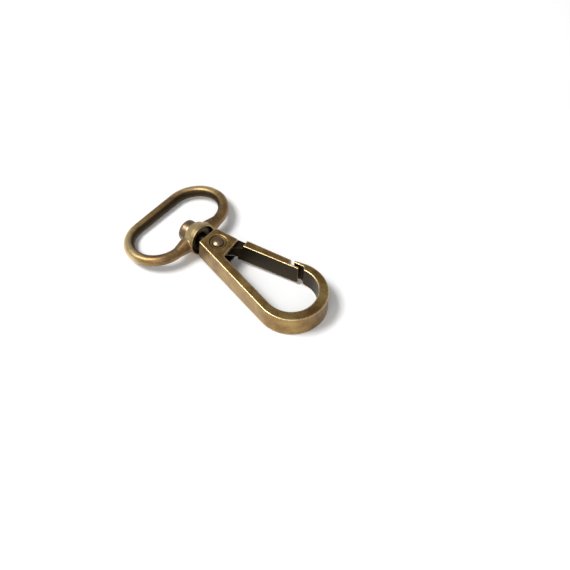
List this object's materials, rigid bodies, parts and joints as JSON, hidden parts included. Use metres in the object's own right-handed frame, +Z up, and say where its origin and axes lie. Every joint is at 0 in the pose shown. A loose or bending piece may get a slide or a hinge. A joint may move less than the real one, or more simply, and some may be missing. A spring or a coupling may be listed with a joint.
{
  "type": "swivel lever snap hook",
  "caption": "Teardrop snap hook with a sprung lever gate, and an oval strap ring that swivels on a stud in its head.",
  "frame": {"origin": "centre of the bounding box at its base, on the surface that the hook lies on", "axes": "+X along the swivel axis from the ring to the hook's loop, +Y the gate's side, +Z up out of the hook's flat face"},
  "size_m": [0.0562, 0.0312, 0.0084],
  "materials": {
    "cast_body": "antique plating, dark in the recesses and worn pale on the edges",
    "cast_gate": "antique plating, rubbed pale on the thumb face and edges",
    "rivet": "antique plating, satin",
    "spring_wire": "drawn wire, oiled",
    "stud": "antique plating, satin",
    "cast_ring": "antique plating, half gloss, worn along the outside of the wire"
  },
  "bodies": {
    "hook": {"hook_body": "cast_body", "pivot_rivet": "rivet", "gate_spring": "spring_wire"},
    "gate": {"gate_lever": "cast_gate"},
    "stud": {"swivel_stud": "stud"},
    "ring": {"swivel_ring": "cast_ring"}
  },
  "joints": [
    {"name": "gate_hinge", "type": "hinge", "parent": "hook", "child": "gate", "pos_m": [-0.00486, -0.00064, 0.00449], "axis": [-0.0483, 0, -0.9988], "range_deg": [0, 30], "stiffness_Nm_per_rad": 0.02, "springref_deg": -34.38, "deforming": ["gate_spring"]},
    {"name": "stud_tilt", "type": "hinge", "parent": "hook", "child": "stud", "pos_m": [-0.008, -0.00064, 0.00464], "axis": [0, 1, 0], "range_deg": [0, 13]},
    {"name": "ring_swivel", "type": "hinge", "parent": "stud", "child": "ring", "pos_m": [-0.008, -0.00064, 0.00464], "axis": [-0.9975, 0.0279, -0.065], "continuous": true}
  ]
}
